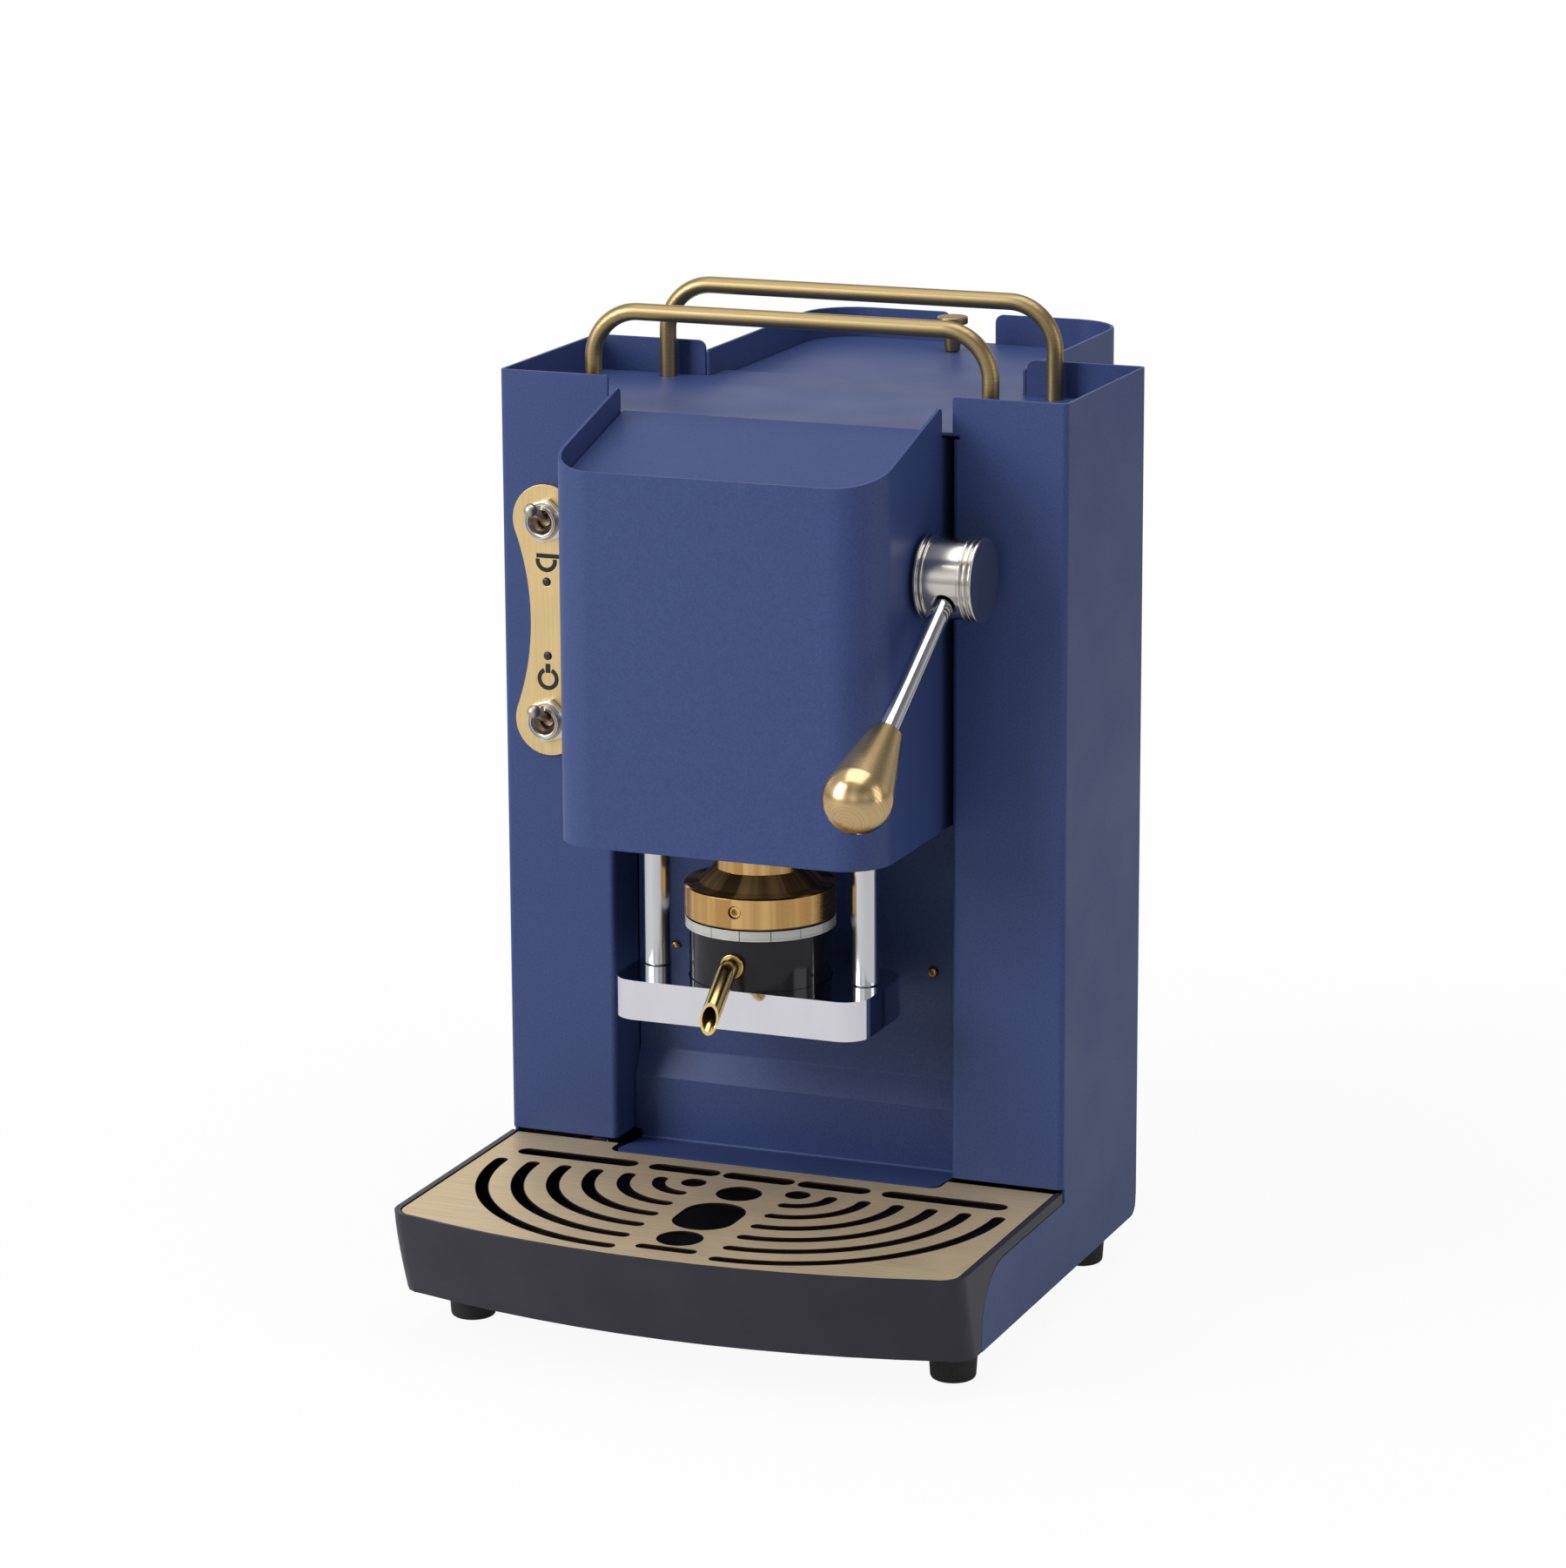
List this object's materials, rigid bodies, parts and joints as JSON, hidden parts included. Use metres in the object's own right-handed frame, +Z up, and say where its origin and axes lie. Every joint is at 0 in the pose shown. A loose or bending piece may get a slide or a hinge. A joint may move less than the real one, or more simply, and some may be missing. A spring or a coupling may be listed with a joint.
{
  "type": "lever espresso machine",
  "caption": "Compact lever espresso machine for pods: bent-sheet housing with hood, lever press between columns, drip tray with slotted grille, cup rails and lift-out water tank.",
  "frame": {"origin": "middle of the footprint's bounding box, on the surface that the feet stand on", "axes": "+Z up, -Y towards the user (lever, spout and tray), +X to the right as the user sees it (lever side)"},
  "size_m": [0.21, 0.3169, 0.3482],
  "materials": {
    "zinc": "zinc plated",
    "rubber": "matt",
    "blue_paint": "matt fine-textured blue powder coat",
    "brass": "brushed and turned, satin",
    "chrome": "polished",
    "lamp": "dark lens",
    "gloss_black": "polished black",
    "clear_ring": "clear flexible ring",
    "steel": "turned, satin",
    "black_plastic": "fine-textured black moulding",
    "copper": "plain copper-coloured metal",
    "hose": "flexible hose",
    "board": "circuit board",
    "tank_plastic": "translucent moulding"
  },
  "bodies": {
    "housing": {"base_pan": "zinc", "front_left_foot": "rubber", "rear_left_foot": "rubber", "front_right_foot": "rubber", "rear_right_foot": "rubber", "left_side_shell": "blue_paint", "right_side_shell": "blue_paint", "recess_panel": "blue_paint", "rear_panel": "blue_paint", "top_deck": "blue_paint", "front_rail": "brass", "rear_rail": "brass", "hood_cover": "blue_paint", "hood_lid": "blue_paint", "tank_shroud": "blue_paint", "tank_shelf": "blue_paint", "control_plate": "brass", "brew_switch_body": "chrome", "power_switch_body": "chrome", "brew_lamp": "lamp", "power_lamp": "lamp", "group_plate": "chrome", "left_column": "chrome", "right_column": "chrome", "pod_cup": "gloss_black", "pod_gasket": "clear_ring", "spout": "brass", "shaft_bridge": "steel", "left_recess_screw": "brass", "right_recess_screw": "brass", "hub_bush": "black_plastic", "left_return_spring": "steel", "right_return_spring": "steel", "boiler": "copper", "boiler_bracket": "zinc", "pump": "black_plastic", "pump_bracket": "zinc", "suction_hose": "hose", "feed_tube": "copper", "brew_hose": "hose", "control_board": "board", "mains_inlet": "black_plastic"},
    "lever": {"lever_shaft": "steel", "press_cam": "steel", "lever_hub": "steel", "lever_rod": "chrome", "lever_knob": "brass"},
    "head": {"press_head": "brass", "head_grub_screw": "brass", "shower_screen": "steel", "crosshead": "steel", "follower_pin": "steel"},
    "brew_toggle": {"brew_switch_bat": "chrome"},
    "power_toggle": {"power_switch_bat": "chrome"},
    "tank": {"water_tank": "tank_plastic", "tank_valve": "black_plastic"},
    "lid": {"tank_lid": "blue_paint", "lid_knob": "brass"},
    "tray": {"drip_tray": "black_plastic"},
    "grille": {"drip_grille": "brass"}
  },
  "joints": [
    {"name": "lever_turn", "type": "hinge", "parent": "housing", "child": "lever", "pos_m": [0, -0.05502, 0.2656], "axis": [-1, 0, 0], "range_deg": [0, 100]},
    {"name": "head_slide", "type": "slide", "parent": "housing", "child": "head", "axis": [0, 0, 1], "range_m": [0, 0.0141], "deforming": ["left_return_spring", "right_return_spring", "brew_hose"]},
    {"name": "brew_switch_rock", "type": "hinge", "parent": "housing", "child": "brew_toggle", "pos_m": [-0.0874, -0.03753, 0.2716], "axis": [1, 0, 0], "range_deg": [0, 48]},
    {"name": "power_switch_rock", "type": "hinge", "parent": "housing", "child": "power_toggle", "pos_m": [-0.0874, -0.03753, 0.1998], "axis": [1, 0, 0], "range_deg": [0, 48]},
    {"name": "tank_lift", "type": "slide", "parent": "housing", "child": "tank", "axis": [0, 0, 1], "range_m": [0, 0.262]},
    {"name": "lid_lift", "type": "slide", "parent": "tank", "child": "lid", "axis": [0, 0, 1], "range_m": [0, 0.04]},
    {"name": "tray_slide", "type": "slide", "parent": "housing", "child": "tray", "axis": [0, -1, 0], "range_m": [0, 0.13]},
    {"name": "grille_lift", "type": "slide", "parent": "tray", "child": "grille", "axis": [0, 0, 1], "range_m": [0, 0.05]}
  ],
  "couplings": [
    {"joint": "head_slide", "follows": "lever_turn", "m_per_rad": 0.0080214}
  ]
}
